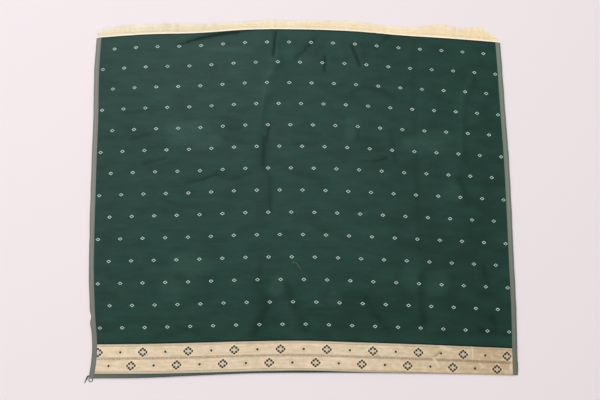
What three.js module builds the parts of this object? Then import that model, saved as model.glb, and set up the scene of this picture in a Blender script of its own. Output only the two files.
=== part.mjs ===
// A silk saree laid flat on a surface. The woven end with the raw, fringed edge lies on top. At
// the front it wraps round the whole stack, and the rest is folded to and fro inside.
import * as THREE from "three";

// Driving sizes in millimetres. X runs across the loom width, Y along the warp from the folded
// front edge to the raw end at the back, and Z up from the surface that the saree lies on.
const HALF_WIDTH = 571.5; // half of a 45 inch loom width
const LENGTH = 934; // along the warp, from the border's lower line to the raw end
const BORDER_DEPTH = 76; // gold border, measured along the warp
const SELVEDGE = { left: 15, right: 15.5 }; // widths of the plain woven side edges
const WALL = 1.2; // a shown layer, with the air that it traps
const SEAM = 0.3; // gap between neighbouring pieces
const HIDDEN_LAYER = 0.8; // height of one folded layer
const FLOOR_GAP = 0.3; // under the cloth that hangs just clear of the floor

// Form of the top layer
const EASE_ACROSS = 0.022; // the weave lies this much wider in the middle than at the selvedges
const LEAN_ACROSS = 4; // and its middle lies this far to the right
const EASE_ALONG = 0.019; // and this much shorter there along the warp
const EDGE_DROP = 2.6; // a selvedge's outer edge hangs this far below the stack's top
const EDGE_REACH = 9; // and starts to drop this far inside
const ROLL_DEPTH = 2.6; // how far the folded edge bulges forward
const LIP = 1; // flat return under the roll
const ROLL_CLEARANCE = 1; // between the lip and the layers inside the fold
const AIR = 0.5; // the top layer's least lift where nothing raises it
const EASE_LIFT = 0.25; // rounds off the floor of the lift

// Fringe of unwoven warp ends
const STRANDS = 140;
const BACKING = 4; // depth of the woven strip that holds the roots
const STRAND_SHARE = 0.68; // share of the pitch that one lock takes
const FALL_REACH = 13; // the ends come down to the floor within this length
const TIP_HEIGHT = 0.45; // thickness of a lock at its tip

// Where the two outer selvedges run.
const sides = [
  { y: -493, left: -554, right: 572 },
  { y: -476, left: -552, right: 572 },
  { y: -446, left: -549, right: 572.5 },
  { y: -415, left: -548.5, right: 573 },
  { y: -384, left: -551, right: 574 },
  { y: -322, left: -558.5, right: 575.3 },
  { y: -196, left: -567, right: 575 },
  { y: 65, left: -571.5, right: 573.6 },
  { y: 199, left: -572, right: 569.8 },
  { y: 336, left: -575.4, right: 566 },
  { y: 436, left: -573, right: 562.5 },
];

// How five lines across the cloth run, from the left selvedge (-1) to the right one (1): the folded
// edge, the border's lower and upper lines, the raw end and the tips of the fringe.
const ends = [
  { place: -1, fold: -493, border: -480.5, seam: -407.4, raw: 436, tips: 457 },
  { place: -0.75, fold: -492, border: -480.9, seam: -405.8, raw: 446, tips: 477 },
  { place: -0.5, fold: -486, border: -478.3, seam: -402.6, raw: 450, tips: 482 },
  { place: -0.25, fold: -480.3, border: -474.4, seam: -398.2, raw: 460, tips: 491 },
  { place: 0, fold: -478.6, border: -472.2, seam: -396.6, raw: 460.5, tips: 493 },
  { place: 0.25, fold: -479, border: -475, seam: -400.7, raw: 455.5, tips: 488 },
  { place: 0.5, fold: -480.5, border: -477, seam: -405, raw: 443, tips: 474 },
  { place: 0.75, fold: -482.5, border: -479, seam: -410.6, raw: 433.5, tips: 470 },
  { place: 1, fold: -485, border: -481.6, seam: -417.5, raw: 422, tips: 446 },
];

// Broad soft swells where air lifts the silk.
const swells = [
  { x: -317, y: 157, reach: 95, tall: 1.3 },
  { x: 343, y: 129, reach: 85, tall: 1.3 },
  { x: -300, y: -230, reach: 90, tall: 0.9 },
  { x: 320, y: -235, reach: 95, tall: 0.9 },
  { x: -60, y: -270, reach: 80, tall: 0.7 },
  { x: 422, y: 4, reach: 70, tall: 0.9 },
  { x: 20, y: 392, reach: 70, tall: 0.8 },
  { x: 178, y: 370, reach: 60, tall: 0.8 },
  { x: 150, y: -40, reach: 110, tall: 0.6 },
];

// Creases as straight runs, ridges with a positive height and troughs with a negative one.
const creases = [
  { x1: -68, y1: 452, x2: -66, y2: 372, width: 15, tall: 0.9 },
  { x1: -66, y1: 372, x2: -105, y2: 227, width: 15, tall: 1.2 },
  { x1: -105, y1: 227, x2: -109, y2: 176, width: 15, tall: 0.9 },
  { x1: -97, y1: 172, x2: -101, y2: 60, width: 22, tall: -1 },
  { x1: -93, y1: 46, x2: -81, y2: -56, width: 13, tall: -0.8 },
  { x1: 474, y1: 327, x2: 443, y2: 227, width: 16, tall: 1.1 },
  { x1: 443, y1: 227, x2: 436, y2: 101, width: 16, tall: 1.2 },
  { x1: 436, y1: 101, x2: 445, y2: -23, width: 16, tall: 0.9 },
  { x1: -379, y1: 404, x2: -169, y2: 446, width: 16, tall: -0.6 },
  { x1: -101, y1: -264, x2: -127, y2: -387, width: 16, tall: 0.7 },
  { x1: 319, y1: -290, x2: 322, y2: -400, width: 18, tall: -0.6 },
];

// Hidden layers from the floor up: how far the edges of each lie inside the top layer's, and how
// far it peeps out at the front right corner. Folds join two layers, at the front and at the back.
const layers = [
  { left: 3.2, right: 3.4, back: 10, peep: 6, foldAbove: { front: false, back: true } },
  { left: 4.4, right: 4, back: 10.6, peep: 5.4, foldAbove: { front: true, back: false } },
  { left: 3.8, right: 4.6, back: 7, peep: 0, foldAbove: { front: false, back: true } },
  { left: 5.8, right: 5.4, back: 7.6, peep: 0, foldAbove: { front: true, back: false } },
  { left: 7, right: 7.4, back: 5, peep: 0, foldAbove: { front: false, back: true } },
  { left: 9.6, right: 9.8, back: 5.4, peep: 0, foldAbove: { front: false, back: false } },
];
const EDGE_GROOVE = 0.5; // depth of the line between two layers
const EDGE_ROUND = 0.22; // share of a layer's height where its rounded edge starts
const PEEP_REACH = { full: 24, gone: 50 }; // how far back from the front the lower layers show

// How many steps each grid takes
const ROWS = 29;
const COARSE_COLUMN = 33;
const FINE_COLUMN = 11.5;
const fineColumns = [
  { at: -92, reach: 46 },
  { at: 448, reach: 30 },
];
const SELVEDGE_COLUMNS = 3;
const BORDER_ROWS = 3;
const FOLD_COLUMNS = 30;
const ROLL_STEPS = 6;
const RING_STEPS = { across: 14, along: 12 };
const CORNER_CUT = 3; // the hidden layers' corners are cut off by this much
const SLOPE_STEP = 0.5; // for reading the surface's slope
const STAGE_STEP = 0.05; // the same, counted in stages of the fold
const HEM_START = -0.001; // stage where the plain hem begins

const stackTop = layers.length * HIDDEN_LAYER;
const flatTop = stackTop + SEAM + WALL;

const mix = (a, b, t) => a + (b - a) * t;
const clamp01 = (t) => Math.min(1, Math.max(0, t));
const ramp = (t) => clamp01(t) ** 2 * (3 - 2 * clamp01(t));
const bell = (t) => Math.exp(-t * t);
const evenly = (from, to, steps) =>
  Array.from({ length: steps + 1 }, (_, n) => mix(from, to, n / steps));

// A number from 0 to 1 that looks random and is the same each time.
function scatter(n, kind) {
  const wave = Math.sin(n * 12.9898 + kind * 78.233) * 43758.5453;
  return wave - Math.floor(wave);
}

// A smooth curve through one column of a table, read where another column has the value at.
function follow(table, key, column, at) {
  const last = table.length - 1;
  let n = 1;
  while (n < last && table[n][key] < at) n++;
  const gap = table[n][key] - table[n - 1][key];
  const slope = (row) => {
    const before = table[Math.max(row - 1, 0)];
    const after = table[Math.min(row + 1, last)];
    return ((after[column] - before[column]) / (after[key] - before[key])) * gap;
  };
  const t = clamp01((at - table[n - 1][key]) / gap);
  const end = t * t * (3 - 2 * t);
  const start = 1 - end;
  const leave = t * (1 - t) ** 2;
  const arrive = -t * t * (1 - t);
  return start * table[n - 1][column] + end * table[n][column] + leave * slope(n - 1) + arrive * slope(n);
}

const lineAt = (across, line) => follow(ends, "place", line, across / HALF_WIDTH);

// The place along X of a warp thread where it crosses a given y.
function sideways(across, y) {
  const place = across / HALF_WIDTH;
  const share = 0.5 + 0.5 * place * (1 + EASE_ACROSS * (1 - place * place));
  const x = mix(follow(sides, "y", "left", y), follow(sides, "y", "right", y), share);
  return x + LEAN_ACROSS * (1 - place * place);
}

// Distance from a point to a straight run.
function distanceTo(run, x, y) {
  const [dx, dy] = [run.x2 - run.x1, run.y2 - run.y1];
  const t = clamp01(((x - run.x1) * dx + (y - run.y1) * dy) / (dx * dx + dy * dy));
  return Math.hypot(x - run.x1 - dx * t, y - run.y1 - dy * t);
}

// How far the top layer stands above the stack's flat top.
function lift(x, y) {
  let height = AIR;
  for (const s of swells) height += s.tall * bell(Math.hypot(x - s.x, y - s.y) / s.reach);
  for (const c of creases) height += c.tall * bell(distanceTo(c, x, y) / c.width);
  return 0.5 * (height + Math.hypot(height, EASE_LIFT));
}

function edgeDrop(across) {
  const inside = HALF_WIDTH - Math.abs(across);
  return EDGE_DROP * (1 - ramp(inside / EDGE_REACH));
}

function topAt(across, x, y) {
  const settled = ramp((HALF_WIDTH - Math.abs(across)) / (4 * EDGE_REACH));
  return flatTop + mix(AIR, lift(x, y), settled) - edgeDrop(across);
}

// A point on the upper side of the cloth. The number along is the length from the border's lower
// line; below zero it counts stages instead: 0 to -1 is the plain hem, -1 to -2 the roll round
// the folded edge, and -2 to -3 the lip under it.
function clothPoint(across, along) {
  const border = lineAt(across, "border");
  if (along >= 0) {
    const seam = lineAt(across, "seam");
    const g = Math.max(along - BORDER_DEPTH, 0) / (LENGTH - BORDER_DEPTH);
    const e = 2 * g - 1;
    const share = g + 0.5 * EASE_ALONG * e * (1 - e * e);
    const lower = mix(border, seam, Math.min(along / BORDER_DEPTH, 1));
    const y = lower + (lineAt(across, "raw") - seam) * share;
    const x = sideways(across, y);
    return new THREE.Vector3(x, y, topAt(across, x, y));
  }
  const hem = border - lineAt(across, "fold") - ROLL_DEPTH;
  const rollStart = border - hem;
  const stage = -along;
  if (stage <= 1) {
    const y = border - mix(SEAM, hem, stage);
    const x = sideways(across, y);
    return new THREE.Vector3(x, y, topAt(across, x, y));
  }
  const turn = Math.PI * Math.min(stage - 1, 1);
  const y = rollStart - ROLL_DEPTH * Math.sin(turn) + LIP * Math.max(stage - 2, 0);
  const x = sideways(across, y);
  const start = topAt(across, sideways(across, rollStart), rollStart);
  const z = mix(FLOOR_GAP, start, 0.5 + 0.5 * Math.cos(turn));
  return new THREE.Vector3(x, y, z);
}

// The same point moved through the wall to the cloth's lower side.
function innerPoint(across, along, point) {
  const onHem = along < 0;
  const low = onHem ? along - STAGE_STEP : along;
  const high = onHem ? Math.min(along + STAGE_STEP, HEM_START) : along + SLOPE_STEP;
  const alongSlope = clothPoint(across, high).sub(clothPoint(across, low));
  const acrossSlope = clothPoint(across + SLOPE_STEP, along).sub(clothPoint(across - SLOPE_STEP, along));
  const normal = acrossSlope.cross(alongSlope).normalize();
  return point.clone().addScaledVector(normal, -WALL);
}

function meshOf(name, points, triangles, material) {
  const geometry = new THREE.BufferGeometry().setFromPoints(points);
  geometry.setIndex(triangles);
  geometry.computeVertexNormals();
  const mesh = new THREE.Mesh(geometry, material);
  mesh.name = name;
  return mesh;
}

// A wall of cloth over a patch of the weave, closed by a rim.
function clothWall(name, acrossStops, alongStops, material) {
  const outer = [];
  const inner = [];
  for (const across of acrossStops) {
    for (const along of alongStops) {
      const point = clothPoint(across, along);
      outer.push(point);
      inner.push(innerPoint(across, along, point));
    }
  }
  const [columns, rows] = [acrossStops.length, alongStops.length];
  const under = outer.length;
  const at = (i, j) => i * rows + j;
  const triangles = [];
  for (let i = 0; i + 1 < columns; i++) {
    for (let j = 0; j + 1 < rows; j++) {
      const [a, b, c, d] = [at(i, j), at(i + 1, j), at(i + 1, j + 1), at(i, j + 1)];
      triangles.push(a, b, c, a, c, d);
      triangles.push(a + under, c + under, b + under, a + under, d + under, c + under);
    }
  }
  const rim = [];
  for (let i = 0; i + 1 < columns; i++) rim.push(at(i, 0));
  for (let j = 0; j + 1 < rows; j++) rim.push(at(columns - 1, j));
  for (let i = columns - 1; i > 0; i--) rim.push(at(i, rows - 1));
  for (let j = rows - 1; j > 0; j--) rim.push(at(0, j));
  rim.forEach((p, n) => {
    const q = rim[(n + 1) % rim.length];
    triangles.push(p, p + under, q + under, p, q + under, q);
  });
  return meshOf(name, [...outer, ...inner], triangles, material);
}

// Column stops, closer together where the sharpest creases run.
function crowdedColumns(from, to) {
  const stops = [from];
  while (stops.at(-1) < to) {
    const here = stops.at(-1);
    const fine = fineColumns.some((c) => Math.abs(here - c.at) < c.reach);
    stops.push(here + (fine ? FINE_COLUMN : COARSE_COLUMN));
  }
  const scale = (to - from) / (stops.at(-1) - from);
  return stops.map((s) => mix(from, s, scale));
}

// One closed outline of the hidden layers, seen from above and turning anticlockwise.
function layerRing(layer, groove, z) {
  const frontInset = ROLL_DEPTH + LIP + ROLL_CLEARANCE + groove.front;
  const frontAt = (across) => lineAt(across, "fold") + frontInset;
  const backAt = (across) => lineAt(across, "raw") - layer.back - groove.back;
  const sideX = (side, y) => {
    if (side < 0) return follow(sides, "y", "left", y) + layer.left + groove.side;
    const behind = y - frontAt(HALF_WIDTH);
    const peep = 1 - ramp((behind - PEEP_REACH.full) / (PEEP_REACH.gone - PEEP_REACH.full));
    return follow(sides, "y", "right", y) - layer.right - groove.side + layer.peep * peep;
  };
  const points = [];
  const acrossStops = evenly(-1, 1, RING_STEPS.across);
  const alongStops = evenly(0, 1, RING_STEPS.along).map((t) => t ** 1.6);
  const alongSide = (side, share) => {
    const y = mix(frontAt(side * HALF_WIDTH) + CORNER_CUT, backAt(side * HALF_WIDTH) - CORNER_CUT, share);
    points.push(new THREE.Vector3(sideX(side, y), y, z));
  };
  const acrossEnd = (lineY, place) => {
    const y = lineY(place * HALF_WIDTH);
    const share = 0.5 + 0.5 * place;
    const x = mix(sideX(-1, y) + CORNER_CUT, sideX(1, y) - CORNER_CUT, share);
    points.push(new THREE.Vector3(x, y, z));
  };
  acrossStops.forEach((place) => acrossEnd(frontAt, place));
  alongStops.forEach((share) => alongSide(1, share));
  acrossStops.toReversed().forEach((place) => acrossEnd(backAt, place));
  alongStops.toReversed().forEach((share) => alongSide(-1, share));
  return points;
}

// The folded rest of the saree as one solid, with a rounded edge for each layer or fold.
function foldedLayers(material) {
  const rings = [];
  const flush = { front: 0, back: 0, side: 0 };
  const grooveUnder = (n) => ({
    side: EDGE_GROOVE,
    front: n > 0 && layers[n - 1].foldAbove.front ? 0 : EDGE_GROOVE,
    back: n > 0 && layers[n - 1].foldAbove.back ? 0 : EDGE_GROOVE,
  });
  layers.forEach((layer, n) => {
    const base = n * HIDDEN_LAYER;
    rings.push(layerRing(layer, grooveUnder(n), base));
    rings.push(layerRing(layer, flush, base + EDGE_ROUND * HIDDEN_LAYER));
    rings.push(layerRing(layer, flush, base + (1 - EDGE_ROUND) * HIDDEN_LAYER));
  });
  rings.push(layerRing(layers.at(-1), grooveUnder(0), stackTop));
  const count = rings[0].length;
  const triangles = [];
  const bottomCentre = rings.length * count;
  const topCentre = bottomCentre + 1;
  const topRing = (rings.length - 1) * count;
  for (let p = 0; p < count; p++) {
    const q = (p + 1) % count;
    for (let r = 0; r < topRing; r += count) {
      triangles.push(r + p, r + q, r + count + q, r + p, r + count + q, r + count + p);
    }
    triangles.push(bottomCentre, q, p, topCentre, topRing + p, topRing + q);
  }
  const points = [...rings.flat(), new THREE.Vector3(0, 0, 0), new THREE.Vector3(0, 0, stackTop)];
  return meshOf("folded_layers", points, triangles, material);
}

// The height of the fringe's upper side at a distance beyond the raw end.
function fringeTop(across, beyond) {
  const y = lineAt(across, "raw");
  const start = topAt(across, sideways(across, y), y);
  const low = FLOOR_GAP + TIP_HEIGHT;
  return mix(low, start, 0.5 + 0.5 * Math.cos(Math.PI * Math.min(beyond / FALL_REACH, 1)));
}

function fringePoint(across, beyond, lean, depth) {
  const y = lineAt(across, "raw") + beyond;
  return new THREE.Vector3(sideways(across, y) + lean, y, fringeTop(across, beyond) - depth);
}

// Warp ends as tapered locks with four sides, their roots fused into a narrow strip.
function fringe(innerStops, material) {
  const points = [];
  const triangles = [];
  const add = (point) => points.push(point) - 1;
  const pitch = (2 * HALF_WIDTH - 2 * SEAM) / STRANDS;
  const rootLine = SEAM + BACKING;
  const column = (across, beyond, depth) => [
    add(fringePoint(across, beyond, 0, 0)),
    add(fringePoint(across, beyond, 0, depth)),
  ];
  // Outer side of the strip: two columns for each lock, with the strip's own ends outside them.
  const half = HALF_WIDTH - SEAM;
  const outer = [{ across: -half, pair: column(-half, rootLine, WALL) }];
  for (let n = 0; n < STRANDS; n++) {
    const middle = -half + (n + 0.5) * pitch;
    for (const side of [-0.5, 0.5]) {
      const across = middle + side * pitch * STRAND_SHARE;
      outer.push({ across, pair: column(across, rootLine, WALL) });
    }
  }
  outer.push({ across: half, pair: column(half, rootLine, WALL) });
  const inner = [-half, ...innerStops, half].map((across) => ({
    across,
    pair: column(across, SEAM, WALL),
  }));
  // Upper and lower faces, joined between the two rows of columns wherever each moves on.
  let [i, o] = [0, 0];
  while (i < inner.length - 1 || o < outer.length - 1) {
    const innerNext = i < inner.length - 1 ? inner[i + 1].across : Infinity;
    const outerNext = o < outer.length - 1 ? outer[o + 1].across : Infinity;
    const [near, far] = [inner[i].pair, outer[o].pair];
    const moved = innerNext < outerNext ? inner[++i].pair : outer[++o].pair;
    triangles.push(near[0], moved[0], far[0], near[1], far[1], moved[1]);
  }
  for (let n = 0; n + 1 < inner.length; n++) {
    const [[a, b], [c, d]] = [inner[n].pair, inner[n + 1].pair];
    triangles.push(a, b, d, a, d, c);
  }
  for (const [first, second] of [[outer[0], inner[0]], [inner.at(-1), outer.at(-1)]]) {
    const [[a, b], [c, d]] = [first.pair, second.pair];
    triangles.push(a, b, d, a, d, c);
  }
  for (let n = 0; n + 1 < outer.length; n += 2) {
    const [[a, b], [c, d]] = [outer[n].pair, outer[n + 1].pair];
    triangles.push(a, c, d, a, d, b);
  }
  // The locks
  for (let n = 0; n < STRANDS; n++) {
    const [left, right] = [outer[2 * n + 1], outer[2 * n + 2]];
    const middle = (left.across + right.across) / 2;
    const reach = lineAt(middle, "tips") - lineAt(middle, "raw");
    const tip = reach * mix(0.8, 1, scatter(n, 1));
    const lean = mix(-1.2, 1.2, scatter(n, 2));
    const halfTip = pitch * STRAND_SHARE * mix(0.16, 0.3, scatter(n, 3));
    const ring = (beyond, spread, shift, thick) => {
      const corners = [[-spread, 0], [spread, 0], [spread, thick], [-spread, thick]];
      return corners.map(([side, depth]) => add(fringePoint(middle + side, beyond, shift, depth)));
    };
    const middleSpread = mix(halfTip, (pitch * STRAND_SHARE) / 2, 0.75);
    const root = [left.pair[0], right.pair[0], right.pair[1], left.pair[1]];
    const stages = [
      root,
      ring(FALL_REACH * 0.85, middleSpread, lean * 0.3, 0.6 * WALL),
      ring(tip, halfTip, lean, TIP_HEIGHT),
    ];
    for (let s = 0; s < 2; s++) {
      for (let k = 0; k < 4; k++) {
        const m = (k + 1) % 4;
        const [a, b, c, d] = [stages[s][k], stages[s][m], stages[s + 1][m], stages[s + 1][k]];
        triangles.push(a, b, c, a, c, d);
      }
    }
    const [a, b, c, d] = stages[2];
    triangles.push(a, b, c, a, c, d);
  }
  return meshOf("fringe", points, triangles, material);
}

const cloth = (color, roughness, metalness = 0) =>
  new THREE.MeshStandardMaterial({ color, roughness, metalness });

const green = cloth(0x334b43, 0.5);
const hemGreen = cloth(0x2f4a3c, 0.6);
const greyGreen = cloth(0x868a82, 0.8);
const gold = cloth(0xc9b591, 0.45, 0.3);
const cream = cloth(0xebe1c5, 0.9);

const fieldLeft = -HALF_WIDTH + SELVEDGE.left;
const fieldRight = HALF_WIDTH - SELVEDGE.right;
const columns = crowdedColumns(fieldLeft + SEAM / 2, fieldRight - SEAM / 2);
const fieldRows = evenly(BORDER_DEPTH + SEAM / 2, LENGTH, ROWS);
const borderRows = evenly(0, BORDER_DEPTH - SEAM / 2, BORDER_ROWS);
const rollStages = evenly(-2, -1, ROLL_STEPS);
const foldStages = [-3, ...rollStages, -0.5, HEM_START];
const selvedgeRows = [...foldStages, ...borderRows.slice(1), ...fieldRows.slice(1)];
const leftColumns = evenly(-HALF_WIDTH, fieldLeft - SEAM / 2, SELVEDGE_COLUMNS);
const rightColumns = evenly(fieldRight + SEAM / 2, HALF_WIDTH, SELVEDGE_COLUMNS);
const foldColumns = evenly(columns[0], columns.at(-1), FOLD_COLUMNS);

const saree = new THREE.Group();
saree.name = "saree";
saree.add(
  clothWall("body_panel", columns, fieldRows, green),
  clothWall("selvedge_left", leftColumns, selvedgeRows, greyGreen),
  clothWall("selvedge_right", rightColumns, selvedgeRows, greyGreen),
  clothWall("zari_border", columns, borderRows, gold),
  clothWall("front_fold", foldColumns, foldStages, hemGreen),
  foldedLayers(greyGreen),
  fringe(columns, cream),
);

export default saree;
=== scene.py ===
"""A green silk saree laid flat: the woven end with its fringe on top, the folded rest beneath."""
import math

import bpy
import numpy as np
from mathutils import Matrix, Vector


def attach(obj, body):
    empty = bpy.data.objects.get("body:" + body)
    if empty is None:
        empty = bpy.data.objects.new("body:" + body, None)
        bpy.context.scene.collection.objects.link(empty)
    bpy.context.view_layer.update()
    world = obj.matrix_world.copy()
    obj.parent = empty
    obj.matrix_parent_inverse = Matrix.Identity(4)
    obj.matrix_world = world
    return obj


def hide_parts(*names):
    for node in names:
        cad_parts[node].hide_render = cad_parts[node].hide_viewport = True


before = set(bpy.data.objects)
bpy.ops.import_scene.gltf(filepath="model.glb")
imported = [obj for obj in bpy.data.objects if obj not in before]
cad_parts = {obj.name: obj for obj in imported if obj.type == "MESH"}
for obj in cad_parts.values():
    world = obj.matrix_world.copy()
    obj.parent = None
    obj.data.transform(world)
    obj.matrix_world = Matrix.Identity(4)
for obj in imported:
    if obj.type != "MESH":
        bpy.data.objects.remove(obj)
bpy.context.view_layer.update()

# Camera
PHOTO_WIDTH = 600
FOCAL_PIXELS = 500
SENSOR_MM = 36
TILT = math.radians(6)  # from straight down
EYE = Vector((0, -0.165, 1.357))  # metres

camera_data = bpy.data.cameras.new("camera")
camera_data.sensor_width = SENSOR_MM
camera_data.lens = FOCAL_PIXELS / PHOTO_WIDTH * SENSOR_MM
camera = bpy.data.objects.new("camera", camera_data)
camera.location = EYE
camera.rotation_euler = (TILT, 0, 0)
bpy.context.scene.collection.objects.link(camera)
bpy.context.scene.camera = camera

# Sizes in millimetres, as on the frame. X runs across the loom width and Y along the warp.
MM = 0.001
HALF_WIDTH = 571.5
LENGTH = 934
BORDER_DEPTH = 76
SELVEDGE_LEFT, SELVEDGE_RIGHT = 15, 15.5
SILK = 0.35  # thickness of the shown cloth
HIDDEN_LAYER = 0.8
FLOOR_GAP = 0.3
FLAT_TOP = 6.3
EASE_ACROSS, EASE_ALONG, LEAN_ACROSS = 0.022, 0.019, 4
EDGE_DROP, EDGE_REACH = 2.6, 9
ROLL_DEPTH, LIP, ROLL_CLEARANCE = 2.6, 1, 1
HEM_MARGIN = 0.3
AIR, EASE_LIFT = 0.5, 0.25
# Grid steps of the shown cloth, in millimetres, and round its folded edge, in the stages that
# cloth_point counts. The hem ends just short of the border's lower line.
FIELD_STEP, BORDER_STEP, FOLD_STEP, SELVEDGE_STEP = 4.6, 3.0, 4.6, 2
LIP_STEP, ROLL_STEP, HEM_STEP, HEM_END = 0.5, 1 / 14, 0.2, -0.001

# Where the outer selvedges run.
SIDES = {
    "y": (-493, -476, -446, -415, -384, -322, -196, 65, 199, 336, 436),
    "left": (-554, -552, -549, -548.5, -551, -558.5, -567, -571.5, -572, -575.4, -573),
    "right": (572, 572, 572.5, 573, 574, 575.3, 575, 573.6, 569.8, 566, 562.5),
}
# Lines across the cloth, from the left selvedge (-1) to the right one (1): the folded edge, the
# border's lower and upper lines and the raw end.
ENDS = {
    "place": (-1, -0.75, -0.5, -0.25, 0, 0.25, 0.5, 0.75, 1),
    "fold": (-493, -492, -486, -480.3, -478.6, -479, -480.5, -482.5, -485),
    "border": (-480.5, -480.9, -478.3, -474.4, -472.2, -475, -477, -479, -481.6),
    "seam": (-406, -404.8, -401.6, -397.8, -396.6, -400.9, -405.4, -411, -416.6),
    "raw": (436, 446, 450, 460, 460.5, 455.5, 443, 433.5, 422),
}
# Swells: x, y, reach, height.
SWELLS = (
    (-317, 157, 95, 1.3),
    (343, 129, 85, 1.3),
    (-300, -230, 90, 0.9),
    (320, -235, 95, 0.9),
    (-60, -270, 80, 0.7),
    (422, 4, 70, 0.9),
    (20, 392, 70, 0.8),
    (178, 370, 60, 0.8),
    (150, -40, 110, 0.6),
)
# Main creases: from x, y to x, y, width, height.
CREASES = (
    (-68, 452, -66, 372, 15, 0.9),
    (-66, 372, -105, 227, 15, 1.2),
    (-105, 227, -109, 176, 15, 0.9),
    (-97, 172, -101, 60, 22, -0.8),
    (-93, 46, -81, -56, 13, -0.8),
    (474, 327, 443, 227, 16, 0.6),
    (443, 227, 436, 101, 16, 0.6),
    (436, 101, 445, -23, 16, 0.5),
    (-379, 404, -169, 446, 16, -0.6),
    (-101, -264, -127, -387, 16, 0.7),
    (319, -290, 322, -400, 18, -0.6),
)
# Fine creases that only the surface shows: from x, y to x, y, width, height and the painted shade
# in them, where deep shade also makes the silk rougher; below zero the last column is a painted highlight.
FINE_CREASES = (
    (-340, 415, -318, 423, 4.5, -0.8, 0.8),
    (-318, 423, -290, 432, 5, -1.0, 1.1),
    (-290, 432, -256, 440, 5.5, -1.2, 1.35),
    (-256, 440, -222, 447, 6, -1.4, 1.5),
    (-222, 447, -175, 454, 6.5, -1.5, 1.6),
    (-175, 454, -135, 458, 5.5, -0.8, 0.8),
    (-247, 400, -135, 394, 9, 0.6, -0.3),
    (-68, 452, -75, 384, 5, -1.1, 1.0),
    (-56, 372, -92, 319, 5, 0.4, -0.2),
    (-92, 319, -112, 191, 5, 0.5, -0.25),
    (-86, 187, -91, 140, 6, -0.8, 0.8),
    (-99, 150, -101, 73, 10, -1.0, 0.8),
    (-104, 73, -82, 37, 6, -0.9, 0.6),
    (-82, 37, -81, -50, 6, -0.9, 0.6),
    (42, 429, 18, 404, 6, -0.8, 0.5),
    (18, 404, -8, 377, 6, -0.8, 0.5),
    (70, 378, 70, 340, 5, -0.9, 0.9),
    (146, 414, 168, 356, 5, -1.2, 0.8),
    (140, 410, 158, 362, 6, 0.7, -0.2),
    (253, 444, 216, 406, 6, -0.9, 0.5),
    (480, 333, 450, 262, 6, 0.5, -0.3),
    (450, 262, 442, 107, 6, 0.5, -0.3),
    (492, 313, 464, 256, 9, -0.2, 0.2),
    (464, 256, 455, 73, 9, -0.15, 0.1),
    (437, 37, 454, -23, 9, -0.6, 0.4),
    (454, -23, 514, -64, 11, -0.3, 0.25),
    (144, 276, 181, 290, 6, -0.7, 0.45),
    (181, 290, 228, 284, 6, -0.8, 0.5),
    (228, 284, 264, 262, 6, -0.6, 0.35),
    (170, 82, 205, 84, 5, -0.8, 0.5),
    (205, 84, 238, 92, 5, -0.8, 0.7),
    (168, 143, 218, 140, 5, -0.5, 0.3),
    (172, 121, 230, 119, 5, -0.5, 0.3),
    (161, 174, 162, 146, 5, -0.5, 0.35),
    (251, 168, 256, 129, 8, -0.5, 0.4),
    (258, 107, 266, 82, 8, -0.5, 0.4),
    (-308, 22, -267, 32, 5, -0.8, 0.55),
    (-267, 32, -227, 47, 5, -0.8, 0.75),
    (-221, 43, -185, 32, 5, -0.8, 0.55),
    (-185, 32, -137, 48, 5, -0.8, 0.5),
    (-375, -23, -339, -37, 6, -0.7, 0.4),
    (-339, -37, -279, -45, 6, -0.6, 0.3),
    (-430, 75, -370, 91, 6, -0.7, 0.5),
    (-487, 218, -415, 225, 6, -0.6, 0.4),
    (-465, 144, -416, 157, 7, -0.7, 0.5),
    (-194, 227, -152, 219, 6, -0.8, 0.4),
    (-215, 177, -165, 171, 7, -0.6, 0.4),
    (-206, 143, -157, 134, 6, -0.6, 0.35),
    (-14, 163, 55, 157, 6, -0.5, 0.3),
    (-14, 129, 49, 132, 6, -0.5, 0.3),
    (-19, 48, 49, 37, 6, -0.6, 0.3),
    (-107, -206, -115, -246, 10, -0.7, 0.35),
    (-115, -246, -88, -311, 12, -0.7, 0.35),
    (-88, -311, -121, -380, 12, -0.9, 0.5),
    (-35, -255, -13, -311, 11, -0.7, 0.4),
    (-13, -311, 15, -368, 12, -0.9, 0.5),
    (25, -319, 100, -312, 5, -0.6, 0.35),
    (173, -285, 199, -330, 13, -0.45, 0.2),
    (199, -330, 238, -378, 11, -0.55, 0.34),
    (322, -228, 328, -358, 10, -0.6, 0.4),
    (311, -235, 316, -350, 8, 0.4, -0.1),
    (493, -206, 504, -254, 9, -0.6, 0.35),
    (511, -337, 521, -374, 9, -0.5, 0.35),
    (476, -369, 549, -381, 9, -0.9, 0.5),
    (-323, -363, -264, -379, 8, -0.6, 0.3),
    (323, 414, 316, 256, 10, -0.4, 0.2),
    (316, 256, 322, 32, 10, -0.4, 0.2),
    (322, 32, 323, -158, 10, -0.4, 0.2),
    (379, -64, 421, -37, 8, 0.3, -0.15),
    (369, -427, 350, -439, 2.8, -0.9, 1.0),
    (350, -440, 364, -463, 3, 0.9, -0.9),
    (454, -414, 455, -443, 2.6, 0.6, -0.7),
    (263, -412, 284, -430, 5, 0.6, -0.4),
    (372, -413, 392, -420, 5, 0.7, -0.7),
    (204, -433, 209, -446, 4, -0.6, 0.4),
    (556, -440, 556, -478, 4, 0.5, -0.6),
    (540, -475, 550, -478, 6, 0.5, -0.5),
    (-548, -446, -549, -470, 8, 0.3, -0.6),
)
# The shade column is painted shade, or below zero painted highlight, in the cloth's colour.
CREASE_HEIGHT, CREASE_SHADE = 5, 6  # the columns of height and of lost sheen
# Shallow waves that no crease explains: length, heading in radians, height and start.
RIPPLES = (
    (163, 0.4, 0.13, 0.7),
    (117, 1.9, 0.11, 2.1),
    (71, 1.1, 0.07, 4.0),
    (53, 2.6, 0.05, 1.3),
    (37, 0.2, 0.03, 5.1),
)
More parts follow.
